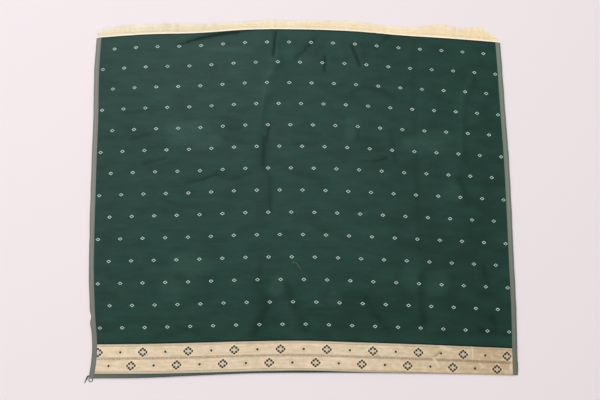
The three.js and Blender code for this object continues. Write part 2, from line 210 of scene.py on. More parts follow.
# Painted highlights where the silk is pressed smooth over the folds beneath: x, y, half width,
# half depth and strength.
PAINTED_SHINE_PATCHES = (
    (-310, 164, 74, 38, 0.85),
    (-262, 142, 46, 32, 0.6),
    (344, 132, 70, 34, 0.8),
    (400, 146, 26, 26, 0.5),
    (-298, -198, 68, 32, 0.65),
    (-342, -265, 36, 32, 0.5),
    (297, -227, 30, 42, 0.6),
    (363, -246, 32, 38, 0.6),
    (-63, -253, 24, 30, 0.6),
    (93, -285, 22, 26, 0.5),
    (136, 176, 20, 40, 0.6),
    (416, 3, 26, 30, 0.5),
    (-190, 404, 70, 10, 0.4),
)
# Painted shade where the silk sinks between the folds beneath, in the same columns.
PAINTED_SHADE_PATCHES = (
    (175, -320, 150, 80, 0.38),
    (390, -190, 140, 130, 0.3),
    (-95, -330, 60, 90, 0.22),
    (480, -340, 130, 70, 0.34),
    (-190, 190, 26, 60, 0.2),
    (250, 60, 70, 90, 0.1),
    (330, 0, 50, 190, 0.16),
    (500, 0, 60, 240, 0.14),
    (25, 410, 40, 26, 0.25),
    (271, -322, 24, 30, 0.3),
    (-420, 120, 60, 30, 0.12),
)
# Where a selvedge bends in or, below zero, out: side, y, half length, depth.
PINCHES = (
    (-1, -333, 9, 2.8),
    (-1, -354, 11, -2.0),
    (-1, -120, 16, 0.5),
    (-1, 240, 14, -0.5),
    (1, -210, 15, 0.5),
    (1, 95, 18, -0.5),
    (1, 330, 12, 0.4),
)
PINCH_REACH = 15  # how far in from the loom's edge a pinch is felt
# Hidden layers from the floor up: edge insets on the left, right and back, how far each peeps
# out at the front right corner, and whether a fold joins it to the next at the front or back.
LAYERS = (
    {"left": 3.2, "right": 3.4, "back": 10, "peep": 6, "joined": "back"},
    {"left": 4.4, "right": 4, "back": 10.6, "peep": 5.4, "joined": "front"},
    {"left": 3.8, "right": 4.6, "back": 7, "peep": 0, "joined": "back"},
    {"left": 5.8, "right": 5.4, "back": 7.6, "peep": 0, "joined": "front"},
    {"left": 7, "right": 7.4, "back": 5, "peep": 0, "joined": "back"},
    {"left": 9.6, "right": 9.8, "back": 5.4, "peep": 0, "joined": ""},
)
STACK_TOP = len(LAYERS) * HIDDEN_LAYER
PEEP_FULL, PEEP_GONE = 24, 50  # how far behind the folded edge a layer peeps out
EDGE_ROUND = 0.6
CORNER_CUT = 3
RING_STEP, RING_SIDE_POINTS = 8, 117  # along the front and back, and along each side
RING_HEIGHTS = (0, 0.06, 0.2, 0.5, 0.8, 0.94, 1)  # shares of a layer's height


# Curves and the cloth's surface
def ramp(t):
    """From 0 to 1 with a soft start and end."""
    t = np.clip(t, 0, 1)
    return t * t * (3 - 2 * t)


def mix(a, b, t):
    return a + (b - a) * t


def follow(table, key, column, at):
    """A smooth curve through one column of a table, read where the key column has the value at."""
    keys, values = np.array(table[key], float), np.array(table[column], float)
    last = len(keys) - 1
    row = np.arange(last + 1)
    before, after = np.maximum(row - 1, 0), np.minimum(row + 1, last)
    slopes = (values[after] - values[before]) / (keys[after] - keys[before])
    n = np.clip(np.searchsorted(keys, at), 1, last)
    gap = keys[n] - keys[n - 1]
    t = np.clip((at - keys[n - 1]) / gap, 0, 1)
    end = t * t * (3 - 2 * t)
    bend = t * (1 - t) * ((1 - t) * slopes[n - 1] - t * slopes[n]) * gap
    return mix(values[n - 1], values[n], end) + bend


def line_at(across, line):
    """The place along Y of a line across the cloth."""
    return follow(ENDS, "place", line, across / HALF_WIDTH)


def sideways(across, y):
    """The place along X of a warp thread where it crosses a given y."""
    place = across / HALF_WIDTH
    share = 0.5 + 0.5 * place * (1 + EASE_ACROSS * (1 - place * place))
    x = mix(follow(SIDES, "y", "left", y), follow(SIDES, "y", "right", y), share)
    return x + LEAN_ACROSS * (1 - place * place)


def pinched(across, y):
    """How far along X the outer threads of the selvedges bend where they are uneven."""
    outer = np.clip(1 + (np.abs(across) - HALF_WIDTH) / PINCH_REACH, 0, 1) ** 2
    depth = 0.25 * np.sin(y / 19 + 2 * np.sin(y / 47) + across / 200)
    for side, place, reach, deep in PINCHES:
        bend = deep * np.exp(-(((y - place) / reach) ** 2))
        depth = depth + np.where(side * across > 0, bend, 0)
    return -np.sign(across) * outer * depth


def distance_to(run, x, y):
    """How far a place is from a straight run, given by its two ends."""
    x1, y1, x2, y2 = run
    dx, dy = x2 - x1, y2 - y1
    t = np.clip(((x - x1) * dx + (y - y1) * dy) / (dx * dx + dy * dy), 0, 1)
    return np.hypot(x - x1 - dx * t, y - y1 - dy * t)


def ripples(x, y):
    height = np.zeros_like(x)
    for length, heading, size, start in RIPPLES:
        phase = (x * math.cos(heading) + y * math.sin(heading)) / length * math.tau + start
        height += size * np.sin(phase + 1.7 * np.sin(phase / 2.3 + y / 140))
    return height


def fine_creases(x, y, column):
    """One column of the fine creases at a place: the highest value there and the lowest, added."""
    high, low = np.zeros_like(x), np.zeros_like(x)
    for row in FINE_CREASES:
        value = row[column] * np.exp(-((distance_to(row[:4], x, y) / row[4]) ** 2))
        high, low = np.maximum(high, value), np.minimum(low, value)
    return high + low


def lift(x, y):
    """How far the top layer stands above the stack's flat top."""
    height = AIR + ripples(x, y) + fine_creases(x, y, CREASE_HEIGHT)
    for sx, sy, reach, tall in SWELLS:
        height = height + tall * np.exp(-(((x - sx) ** 2 + (y - sy) ** 2) / reach**2))
    for *run, width, tall in CREASES:
        height = height + tall * np.exp(-((distance_to(run, x, y) / width) ** 2))
    return 0.5 * (height + np.hypot(height, EASE_LIFT))


def painted_light_at(x, y):
    """Painted light for the cloth's colour: from 0, painted shade in the creases, through 0.5 to 1,
    painted highlight where the silk shines.
    """
    wobble = 0.22 * np.sin(x / 17 + 2 * np.sin(y / 23)) + 0.18 * np.sin(y / 11 + 1.5 * np.sin(x / 29))
    painted_shine, painted_shade = np.zeros_like(x), fine_creases(x, y, CREASE_SHADE)
    for sx, sy, wide, deep, strength in PAINTED_SHINE_PATCHES:
        far = np.hypot((x - sx) / wide, (y - sy) / deep) + 0.5 * wobble
        painted_shine = np.maximum(painted_shine, strength * (1 - ramp((far - 0.45) / 0.8)))
    for sx, sy, wide, deep, strength in PAINTED_SHADE_PATCHES:
        far = np.hypot((x - sx) / wide, (y - sy) / deep) + 0.7 * wobble
        painted_shade = painted_shade + strength * (1 - ramp(far / 1.5))
    return np.clip(0.5 + 0.5 * painted_shine - 0.5 * painted_shade, 0, 1)


def top_at(across, x, y):
    """The height of the top layer, which lies lower along its side edges."""
    inside = HALF_WIDTH - np.abs(across)
    settled = ramp(inside / (4 * EDGE_REACH))
    drop = EDGE_DROP * (1 - ramp(inside / EDGE_REACH))
    return FLAT_TOP + mix(AIR, lift(x, y), settled) - drop


def cloth_point(across, along):
    """Points on the upper side, as x, y, z and the length along the warp. Below zero, along
    counts stages: the plain hem to -1, the roll round the folded edge to -2, and the lip to -3."""
    fold, border, seam, raw = (line_at(across, line) for line in ("fold", "border", "seam", "raw"))
    g = np.maximum(along - BORDER_DEPTH, 0) / (LENGTH - BORDER_DEPTH)
    e = 2 * g - 1
    share = g + 0.5 * EASE_ALONG * e * (1 - e * e)
    panel_y = mix(border, seam, np.clip(along / BORDER_DEPTH, 0, 1)) + (raw - seam) * share
    hem = border - fold - ROLL_DEPTH
    stage = -along
    flat = np.where(stage <= 1, mix(HEM_MARGIN, hem, stage), hem)
    turn = math.pi * np.clip(stage - 1, 0, 1)
    lip = LIP * np.maximum(stage - 2, 0)
    fold_y = border - flat - ROLL_DEPTH * np.sin(turn) + lip
    y = np.where(along >= 0, panel_y, fold_y)
    x = sideways(across, y) + pinched(across, y)
    start_y = np.where(stage > 1, border - hem, y)
    start = top_at(across, sideways(across, start_y), start_y)
    z = np.where(along >= 0, start, mix(FLOOR_GAP, start, 0.5 + 0.5 * np.cos(turn)))
    below = np.where(along >= 0, seam - y, seam - border + flat + ROLL_DEPTH * turn + lip)
    length = np.where(along >= BORDER_DEPTH, along, BORDER_DEPTH - below)
    return np.stack([x, y, z], -1), length


def cloth_normal(across, along):
    """The direction in which the upper side faces, from small steps across and along."""
    step, stage_step = 0.5, 0.05
    on_hem = along < 0
    low = np.where(on_hem, along - stage_step, along - step * (along >= step))
    high = np.where(on_hem, np.minimum(along + stage_step, HEM_END), along + step)
    along_slope = cloth_point(across, high)[0] - cloth_point(across, low)[0]
    across_slope = cloth_point(across + step, along)[0] - cloth_point(across - step, along)[0]
    normal = np.cross(across_slope, along_slope)
    return normal / np.linalg.norm(normal, axis=-1, keepdims=True)


# Meshes
SHARP_EDGE = math.radians(45)


def add_mesh(name, points, faces, weave=None, tint=None):
    """A piece from points in millimetres and faces given as arrays of corners, each array with
    one number of corners. It rides on the body, with its place in its mesh."""
    mesh = bpy.data.meshes.new(name)
    groups = [np.asarray(f, np.int32) for f in faces]
    sizes = np.concatenate([np.full(len(f), f.shape[1], np.int32) for f in groups])
    corners = np.concatenate([f.ravel() for f in groups])
    mesh.vertices.add(len(points))
    mesh.vertices.foreach_set("co", (np.asarray(points) * MM).astype(np.float32).ravel())
    mesh.loops.add(len(corners))
    mesh.loops.foreach_set("vertex_index", corners)
    mesh.polygons.add(len(sizes))
    starts = np.concatenate([[0], np.cumsum(sizes)[:-1]]).astype(np.int32)
    mesh.polygons.foreach_set("loop_start", starts)
    mesh.update(calc_edges=True)
    if weave is not None:
        layer = mesh.attributes.new("weave", "FLOAT_VECTOR", "POINT")
        layer.data.foreach_set("vector", np.asarray(weave, np.float32).ravel())
    if tint is not None:
        layer = mesh.attributes.new("tint", "FLOAT", "POINT")
        layer.data.foreach_set("value", np.asarray(tint, np.float32).ravel())
    mesh.shade_smooth()
    mesh.set_sharp_from_angle(angle=SHARP_EDGE)
    piece = bpy.data.objects.new(name, mesh)
    bpy.context.scene.collection.objects.link(piece)
    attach(piece, "root")
    return piece


def steps(low, high, size):
    """Even steps of about a given size, ends included."""
    return np.linspace(low, high, max(2, round((high - low) / size) + 1))


def shell(name, top, under, **attributes):
    """A closed piece from an upper and a lower grid of points with the same rows and columns."""
    size = top.shape[0] * top.shape[1]
    index = np.arange(size).reshape(top.shape[:2])
    quads = np.stack([index[:-1, :-1], index[1:, :-1], index[1:, 1:], index[:-1, 1:]], -1).reshape(-1, 4)
    rim = np.concatenate([index[:-1, 0], index[-1, :-1], index[:0:-1, -1], index[0, :0:-1]])
    ahead = np.roll(rim, -1)
    edge = np.stack([rim, rim + size, ahead + size, ahead], -1)
    points = np.concatenate([top.reshape(-1, 3), under.reshape(-1, 3)])
    return add_mesh(name, points, [np.concatenate([quads, quads[:, ::-1] + size, edge])], **attributes)


def cloth_patch(name, across, along):
    """A thin shell of cloth over a patch of the weave."""
    a, b = np.meshgrid(across, along, indexing="ij")
    top, length = cloth_point(a, b)
    under = top - SILK * cloth_normal(a, b)
    weave = np.stack([a, length, np.zeros_like(a)], -1).reshape(-1, 3)
    # The tint carries the painted light: painted shade in the creases, painted highlights where the silk
    # shines.
    painted_light = np.tile(painted_light_at(top[..., 0], top[..., 1]).ravel(), 2)
    return shell(name, top, under, weave=np.concatenate([weave, weave]), tint=painted_light)


def tubes(name, paths, radii, sides, tint=None):
    """Threads along paths, an array of thread, point and x, y, z."""
    count, stations, _ = paths.shape
    tangent = np.gradient(paths, axis=1)
    tangent /= np.linalg.norm(tangent, axis=-1, keepdims=True)
    beside = np.cross(tangent, (0.0, 0.0, 1.0))
    beside /= np.linalg.norm(beside, axis=-1, keepdims=True) + 1e-9
    above = np.cross(beside, tangent)
    points = []
    for k in range(sides):
        angle = math.tau * (k / sides + 0.25)
        points.append(paths + radii[..., None] * (math.cos(angle) * beside + math.sin(angle) * above))
    points = np.stack(points, 2).reshape(-1, 3)
    index = np.arange(count * stations * sides).reshape(count, stations, sides)
    turned = np.roll(index, -1, axis=2)
    walls = np.stack([index[:, :-1], index[:, 1:], turned[:, 1:], turned[:, :-1]], -1).reshape(-1, 4)
    caps = np.concatenate([index[:, 0], index[:, -1, ::-1]])
    if tint is not None:
        tint = np.repeat(tint, stations * sides)
    return add_mesh(name, points, [walls, caps], tint=tint)


# The shown cloth
field_left = -HALF_WIDTH + SELVEDGE_LEFT
field_right = HALF_WIDTH - SELVEDGE_RIGHT
panel_rows = steps(BORDER_DEPTH, LENGTH, FIELD_STEP)
border_rows = steps(0, BORDER_DEPTH, BORDER_STEP)
roll_stages, flat_stages = steps(-2, -1, ROLL_STEP), steps(-1, HEM_END, HEM_STEP)
hem_stages = np.concatenate([steps(-3, -2, LIP_STEP), roll_stages[1:], flat_stages[1:]])

body_panel = cloth_patch("silk_body", steps(field_left, field_right, FIELD_STEP), panel_rows)
zari_border = cloth_patch("zari_band", steps(field_left, field_right, BORDER_STEP), border_rows)
front_fold = cloth_patch("hem_roll", steps(field_left, field_right, FOLD_STEP), hem_stages)
side_rows = np.concatenate([hem_stages, border_rows, panel_rows[1:]])
left_selvedge = cloth_patch("left_selvedge", steps(-HALF_WIDTH, field_left, SELVEDGE_STEP), side_rows)
right_selvedge = cloth_patch("right_selvedge", steps(field_right, HALF_WIDTH, SELVEDGE_STEP), side_rows)


# Hidden layers
def wander(place, seed, size, reach):
    """A slow uneven wave along an edge."""
    wave = np.sin(place / reach + seed * 2.3) + 0.6 * np.sin(place / reach * 2.37 + seed * 5.1)
    return size * (wave + 0.4 * np.sin(place / reach * 5.3 + seed * 1.7))


def layer_ring(number, t):
    """The outline of one hidden layer at a share t of its height."""
    layer = LAYERS[number]
    below = LAYERS[number - 1] if number else {"joined": ""}

    def round_off(side):
        share = t
        if layer["joined"] == side:
            share = t / 2
        elif below["joined"] == side:
            share = (t + 1) / 2
        return EDGE_ROUND * (1 - math.sqrt(max(0, 1 - (2 * share - 1) ** 2)))

    def front(across):
        return line_at(across, "fold") + ROLL_DEPTH + LIP + ROLL_CLEARANCE + round_off("front")

    def back(across):
        uneven = wander(across, number // 2, 0.5, 55)
        return line_at(across, "raw") - layer["back"] - round_off("back") + uneven

    def left(y):
        uneven = np.maximum(wander(y, number + 3, 0.35, 48), -0.8)
        return follow(SIDES, "y", "left", y) + layer["left"] + round_off("side") + uneven

    def right(y):
        behind = y - front(HALF_WIDTH)
        peep = 1 - ramp((behind - PEEP_FULL) / (PEEP_GONE - PEEP_FULL))
        uneven = np.maximum(wander(y, number + 11, 0.35, 52), -0.8)
        inset = layer["right"] + round_off("side") - layer["peep"] * peep + uneven
        return follow(SIDES, "y", "right", y) - inset

    across = steps(-HALF_WIDTH, HALF_WIDTH, RING_STEP)
    share = np.linspace(0, 1, RING_SIDE_POINTS)
    ends = []
    for line in (front, back):
        y = line(across)
        x = mix(left(y) + CORNER_CUT, right(y) - CORNER_CUT, 0.5 + 0.5 * across / HALF_WIDTH)
        ends.append(np.stack([x, y], -1))
    edges = []
    for side, place in ((left, -HALF_WIDTH), (right, HALF_WIDTH)):
        y = mix(front(place) + CORNER_CUT, back(place) - CORNER_CUT, share)
        edges.append(np.stack([side(y), y], -1))
    outline = np.concatenate([ends[0], edges[1], ends[1][::-1], edges[0][::-1]])
    z = np.full((len(outline), 1), (number + t) * HIDDEN_LAYER)
    return np.concatenate([outline, z], -1)


def layer_stack():
    """The hidden layers as one closed piece. A layer's top ring is the next one's bottom ring."""
    rings, tint = [], []
    for number in range(len(LAYERS)):
        on_top = number + 1 == len(LAYERS)
        for t in RING_HEIGHTS if on_top else RING_HEIGHTS[:-1]:
            rings.append(layer_ring(number, t))
            # The tint is 1 where a layer meets the next or the floor, for painted shade in these joins.
            tint.append(np.full(len(rings[-1]), abs(2 * t - 1)))
    count = len(rings[0])
    points = np.concatenate(rings + [[[0, 0, 0], [0, 0, STACK_TOP]]])
    index = np.arange(count * len(rings)).reshape(len(rings), count)
    ahead = np.roll(index, -1, axis=1)
    walls = np.stack([index[:-1], ahead[:-1], ahead[1:], index[1:]], -1).reshape(-1, 4)
    middle = np.full(count, index.size)
    bottom = np.stack([middle, ahead[0], index[0]], -1)
    top = np.stack([middle + 1, index[-1], ahead[-1]], -1)
    tint = np.concatenate(tint + [[0, 0]])
    return add_mesh("layer_stack", points, [walls, np.concatenate([bottom, top])], weave=points, tint=tint)


stack = layer_stack()

# Fringe
THREADS, WISPS = 5600, 1100
THREAD_RADIUS, WISP_RADIUS = 0.14, 0.09
THREAD_SHARES, WISP_SHARES = (0.6, 1.0), (0.85, 1.2)  # of the fringe's reach
THREAD_STRAY, WISP_STRAY = 1.6, 3.2
THREAD_POINTS, THREAD_SIDES = 6, 3
THREAD_TUCK, STRIP_TUCK = 0.8, 0.5  # how far the roots reach back over the raw end
FALL_REACH = 13  # how far beyond the raw end the warp ends come to the floor
FLOOR_CLEAR = 0.02
LOCK_PITCH, LOCK_PULL = 11, 0.12
VEIL_STEP, VEIL_ROWS, VEIL_THICK, VEIL_CROWN = 1.5, 8, 0.12, 0.2
HEADING_STEP, HEADING_ROWS, HEADING_THICK, HEADING_CROWN = 3, 6, 0.5, 0.75
HEADING_REACH = 3.2
FRINGE = {
    "across": (-572, -520, -430, -345, -285, -225, -195, -130, -82, 0, 110, 170, 240,
               305, 345, 375, 402, 430, 458, 482, 514, 545, 572),
    "reach": (27, 35, 36, 36, 33, 31, 30, 31, 34, 33, 35, 34, 31,
              31, 37, 45, 47, 44, 37, 42, 46, 30, 12),
}
rng = np.random.default_rng(7)


def fringe_height(across, beyond):
    """The height at which the warp ends lie, falling from the raw end to the floor."""
    raw = line_at(across, "raw")
    start = top_at(across, sideways(across, raw), raw)
    return mix(FLOOR_GAP, start, 0.5 + 0.5 * np.cos(math.pi * np.clip(beyond / FALL_REACH, 0, 1)))


def fringe_reach(across):
    """How far the fringe reaches beyond the raw end, where its tips sweep out or draw in."""
    return follow(FRINGE, "across", "reach", across)


def fringe_paleness(across):
    """How pale the warp ends look, from 0 to 1, which fades towards the right."""
    return 0.42 - 0.3 * across / HALF_WIDTH


def fringe_threads(name, count, shares, radius, stray):
    """Loose warp ends, which fall to the floor, lean together in locks and taper."""
    outer = HALF_WIDTH - 0.4
    across = np.sort(rng.uniform(-outer, outer, count))
    reach = fringe_reach(across) * rng.uniform(*shares, count)
    middle = np.round(across / LOCK_PITCH + 0.35 * np.sin(across / 29)) + 0.25 * np.sin(across / 7)
    gather = LOCK_PULL * (LOCK_PITCH * middle - across) * rng.uniform(0.4, 1.1, count)
    drift = 2.6 * np.sin(across / 61 + 0.8) + 1.7 * np.sin(across / 23) + rng.normal(0, stray, count)
    curl = rng.normal(0, 0.8, count)
    t = np.linspace(0, 1, THREAD_POINTS)
    beyond = -THREAD_TUCK + (reach[:, None] + THREAD_TUCK) * t
    raw = line_at(across, "raw")[:, None]
    x = sideways(across[:, None], raw) + (gather + drift)[:, None] * t**1.6
    x = x + 1.2 * curl[:, None] * np.sin(t * math.pi)
    above = rng.uniform(-0.1, 0.36, count)[:, None] * (1 - 0.7 * t)
    z = fringe_height(across[:, None], beyond) + above
    radii = radius * rng.uniform(0.8, 1.3, count)[:, None] * (1 - 0.6 * t**3)
    z = np.maximum(z, radii + FLOOR_CLEAR)
    tint = np.clip(fringe_paleness(across) + rng.uniform(-0.4, 0.4, count), 0, 1)
    return tubes(name, np.stack([x, raw + beyond, z], -1), radii, THREAD_SIDES, tint=tint)


def fringe_strip(name, across, shares, reach, thick, crown, tint=None):
    """A strip of warp ends that lie close together, with points at shares of a reach that is given
    for each place across. Its middle rises by the crown."""
    a, share = np.meshgrid(across, shares, indexing="ij")
    beyond = -STRIP_TUCK + (reach[:, None] + STRIP_TUCK) * share
    z = fringe_height(a, beyond) - FLOOR_GAP + crown * np.sin(math.pi * share)
    raw = line_at(a, "raw")
    top = np.stack([sideways(a, raw), raw + beyond, np.maximum(z, thick + FLOOR_CLEAR)], -1)
    under = top - np.array([0, 0, thick])
    return shell(name, top, under, tint=tint)


def fringe_veil():
    """The thick of the fringe, where no gap shows between the threads."""
    across = steps(-HALF_WIDTH, HALF_WIDTH, VEIL_STEP)
    ragged = 0.8 + 0.04 * np.sin(across / 19) + rng.uniform(-0.05, 0.05, len(across))
    reach = fringe_reach(across) * ragged
    shares = np.linspace(0, 1, VEIL_ROWS)
    pale = fringe_paleness(across[:, None]) + 0.25 * shares**2
    tint = np.tile(pale.ravel(), 2)
    return fringe_strip("fringe_veil", across, shares, reach, VEIL_THICK, VEIL_CROWN, tint)


def fringe_heading():
    """The last picks of the weave, which hold the roots of the fringe."""
    across = steps(-HALF_WIDTH, HALF_WIDTH, HEADING_STEP)
    shares = np.linspace(0, 1, HEADING_ROWS)
    reach = HEADING_REACH + 0.35 * np.sin(across / 9)
    return fringe_strip("fringe_heading", across, shares, reach, HEADING_THICK, HEADING_CROWN)


fringe_dense = fringe_threads("fringe_threads", THREADS, THREAD_SHARES, THREAD_RADIUS, THREAD_STRAY)
fringe_stray = fringe_threads("fringe_wisps", WISPS, WISP_SHARES, WISP_RADIUS, WISP_STRAY)
veil = fringe_veil()
heading = fringe_heading()

# Loose threads: the looped end and the tail of a binding thread at the front left corner, and a bit
# of lint on the silk
LOOP_CENTRE, LOOP_RADIUS, LOOP_THREAD_RADIUS = (-550.2, -497.4), 5, 1
LOOP_HEIGHT, LOOP_WAVE = 1.5, 0.5
LOOP_POINTS, PATH_POINTS, ROUND_SIDES = 25, 20, 8
TAIL = ((-545, -489, 1.8), (-552, -486.5, 2.2), (-558, -489, 1.6), (-562, -497, 1.4), (-566, -506, 1.2))
TAIL_RADII = 0.6 + 1.3 * np.exp(-((np.linspace(-2.6, 1.8, PATH_POINTS)) ** 2))
TAIL_CLEAR = 0.1
LINT = ((-21, -193), (-14, -191.5), (-6, -198), (2, -211.5))
LINT_HEIGHT, LINT_RADIUS = FLAT_TOP + 1.3, 0.35


def loop_path():
    turns = np.radians(np.linspace(60, 420, LOOP_POINTS))
    x = LOOP_CENTRE[0] + LOOP_RADIUS * np.cos(turns)
    y = LOOP_CENTRE[1] + LOOP_RADIUS * np.sin(turns)
    return np.stack([x, y, LOOP_HEIGHT + LOOP_WAVE * np.sin(2 * turns)], -1)


def smooth_path(points):
    """A curve that passes through the given points."""
    points = np.array(points, float)
    rows = {"at": np.arange(len(points))}
    at = np.linspace(0, len(points) - 1, PATH_POINTS)
    return np.stack([follow({**rows, "value": points[:, k]}, "at", "value", at) for k in range(3)], -1)


def thread(name, path, radius):
    path = np.array(path)[None]
    return tubes(name, path, np.broadcast_to(radius, path.shape[:2]), ROUND_SIDES)


corner_loop = thread("corner_loop", loop_path(), LOOP_THREAD_RADIUS)
tail_path = smooth_path(TAIL)
tail_path[:, 2] = np.maximum(tail_path[:, 2], TAIL_RADII + TAIL_CLEAR)
corner_tail = thread("corner_tail", tail_path, TAIL_RADII)
lint = thread("lint", smooth_path([(x, y, LINT_HEIGHT) for x, y in LINT]), LINT_RADIUS)


# Materials
def linear(r, g, b):
    """A colour given as 0 to 255 on screen, as the shader wants it."""
    def channel(v):
        v /= 255
        return v / 12.92 if v <= 0.04045 else ((v + 0.055) / 1.055) ** 2.4
    return (channel(r), channel(g), channel(b), 1.0)


class Number:
    """A number that varies over a surface, whose arithmetic makes the shader's nodes."""

    def __init__(self, tree, socket):
        self.tree, self.socket = tree, socket

    def math(self, operation, *others, clamp=False):
        node = self.tree.nodes.new("ShaderNodeMath")
        node.operation = operation
        node.use_clamp = clamp
        for slot, value in zip(node.inputs, (self, *others)):
            if isinstance(value, Number):
                self.tree.links.new(value.socket, slot)
            else:
                slot.default_value = value
        return Number(self.tree, node.outputs[0])

    def __add__(self, other):
        return self.math("ADD", other)

    def __sub__(self, other):
        return self.math("SUBTRACT", other)

    def __mul__(self, other):
        return self.math("MULTIPLY", other)

    def __truediv__(self, other):
        return self.math("DIVIDE", other)

    def less(self, edge, soft):
        """1 below the edge and 0 above it, with a soft change."""
        return ((self * -1 + edge) / soft + 0.5).math("ADD", 0, clamp=True)

    def nearest(self):
        return self.math("ROUND")

    def size(self):
        return self.math("ABSOLUTE")

    def sine(self):
        return self.math("SINE")

    def least(self, other):
        return self.math("MINIMUM", other)

    def most(self, other):
        return self.math("MAXIMUM", other)


class Surface:
    """A Principled material with the helpers that its recipe uses."""

    def __init__(self, name, roughness, **settings):
        self.material = bpy.data.materials.new(name)
        self.material.use_nodes = True
        self.tree = self.material.node_tree
        self.shader = self.tree.nodes["Principled BSDF"]
        self.shader.inputs["Roughness"].default_value = roughness
        for key, value in settings.items():
            self.shader.inputs[key.replace("_", " ")].default_value = value

    def weave(self):
        """How far across and along the cloth, in millimetres."""
        node = self.tree.nodes.new("ShaderNodeAttribute")
        node.attribute_name = "weave"
        split = self.tree.nodes.new("ShaderNodeSeparateXYZ")
        self.tree.links.new(node.outputs["Vector"], split.inputs[0])
        return [Number(self.tree, out) for out in split.outputs]

    def tint(self):
        node = self.tree.nodes.new("ShaderNodeAttribute")
        node.attribute_name = "tint"
        return Number(self.tree, node.outputs["Fac"])

    def noise(self, x, y, detail=2.0):
        """Smooth noise from 0 to 1 over two numbers."""
        join = self.tree.nodes.new("ShaderNodeCombineXYZ")
        self.tree.links.new(x.socket, join.inputs[0])
        self.tree.links.new(y.socket, join.inputs[1])
        node = self.tree.nodes.new("ShaderNodeTexNoise")
        node.noise_dimensions = "2D"
        node.inputs["Scale"].default_value = 1
        node.inputs["Detail"].default_value = detail
        self.tree.links.new(join.outputs[0], node.inputs["Vector"])
        return Number(self.tree, node.outputs["Fac"])

    def blend(self, share, low, high):
        """A colour between two, each a colour or an earlier blend."""
        node = self.tree.nodes.new("ShaderNodeMix")
        node.data_type = "RGBA"
        for key, value in (("Factor", share), ("A", low), ("B", high)):
            kind = "VALUE" if key == "Factor" else "RGBA"
            slot = next(s for s in node.inputs if s.name == key and s.type == kind)
            if isinstance(value, Number):
                self.tree.links.new(value.socket, slot)
            else:
                slot.default_value = value
        return Number(self.tree, next(s for s in node.outputs if s.type == "RGBA"))

    def paint(self, colour):
        self.tree.links.new(colour.socket, self.shader.inputs["Base Color"])

    def rough(self, value):
        self.tree.links.new(value.socket, self.shader.inputs["Roughness"])

    def emboss(self, height, depth_mm):
        node = self.tree.nodes.new("ShaderNodeBump")
        node.inputs["Strength"].default_value = 1
        node.inputs["Distance"].default_value = depth_mm * MM
        self.tree.links.new(height.socket, node.inputs["Height"])
        self.tree.links.new(node.outputs["Normal"], self.shader.inputs["Normal"])


BUTTA_PITCH, BUTTA_OFFSET = 30.4, 1.2
BUTTA_ROW, BUTTA_FIRST = 59.56, 120.5
BUTTA_WIDTH, BUTTA_HEIGHT, BUTTA_HOLLOW = 11.8, 8.7, 0.66
SILK_ROUGHNESS = 0.46


def silk_body_surface():
    s = Surface("butta_silk", SILK_ROUGHNESS, Specular_IOR_Level=0.17, Specular_Tint=(0.7, 1, 0.97, 1))
    across, along, _ = s.weave()
    column = (across - BUTTA_OFFSET) / BUTTA_PITCH
    row = (along - BUTTA_FIRST) / BUTTA_ROW
    first, second = (column + row) * 0.5, (column - row) * 0.5
    first, second = first - first.nearest(), second - second.nearest()
    dx, dy = (first + second) * BUTTA_PITCH, (first - second) * BUTTA_ROW
    rhomb = dx.size() / (BUTTA_WIDTH / 2) + dy.size() / (BUTTA_HEIGHT / 2)
    outline = rhomb.less(1, 0.12) - rhomb.less(BUTTA_HOLLOW, 0.12)
    mottle = s.noise(across / 70, along / 30, 4)
    slub = s.noise(across / 1.1, along / 26)
    painted_light = s.tint()
    green = s.blend(mottle * 1.6 - 0.3, linear(25, 52, 43), linear(37, 66, 57))
    green = s.blend(slub * 0.3, green, linear(24, 48, 41))
    # Painted highlight where the silk shines, broken up by noise, and painted shade in the creases and
    # hollows.
    broken = s.noise(across / 40 + 3, along / 18, 2) + 0.3
    green = s.blend((painted_light - 0.5) * broken, green, linear(58, 87, 78))
    green = s.blend((painted_light * -1 + 0.5) * 1.7, green, linear(8, 28, 20))
    s.rough((painted_light * -1 + 0.25).most(0) * 0.8 + SILK_ROUGHNESS)
    # A dark line just above the border, and one along the raw end that is a painted shadow of the cloth's
    # edge.
    ends = (along - BORDER_DEPTH).less(4.2, 2.0).most((along * -1 + LENGTH).less(4.4, 1.8))
    green = s.blend(ends * 0.95, green, linear(26, 26, 12))
    thread = s.noise(across / 15 + 7, along / 15, 1)
    pale = s.blend(thread, linear(168, 194, 184), linear(240, 248, 238))
    s.paint(s.blend(outline, green, pale))
    rumple = s.noise(across / 38, along / 13, 3)
    s.emboss(rumple + slub * 0.04, 0.55)
    return s.material


FLOWER_PERIOD = 4 * BUTTA_PITCH
UPPER_LINE, LOWER_LINE = 55.2, 20.6
UPPER_FLOWER, LOWER_FLOWER = 1.75, 0.8  # in pitches from the middle butta
DOT_RADIUS, DOT_RING = 3.2, 7.5
CORE_WIDE, CORE_TALL = 8, 7
HALO_WIDE, HALO_TALL = 17, 16
MIDDLE_LINE, EDGE_LINE, GUARD_DEPTH = 36.9, 5.1, 3.4
# The dark spots of a quarter flower: x, y, half width and half height.
FLOWER_SPOTS = ((0, 9.2, 3.1, 2.6), (10.4, 0, 2.4, 3.6), (5.4, 5.3, 3.1, 2.9))


def spots(dx, dy):
    """The eight dark spots round a flower."""
    ax, ay = dx.size(), dy.size()
    nearest = None
    for x, y, wide, tall in FLOWER_SPOTS:
        far = ((ax - x).size() / wide).math("POWER", 2.4) + ((ay - y).size() / tall).math("POWER", 2.4)
        nearest = far if nearest is None else nearest.least(far)
    return nearest.less(1, 0.4)


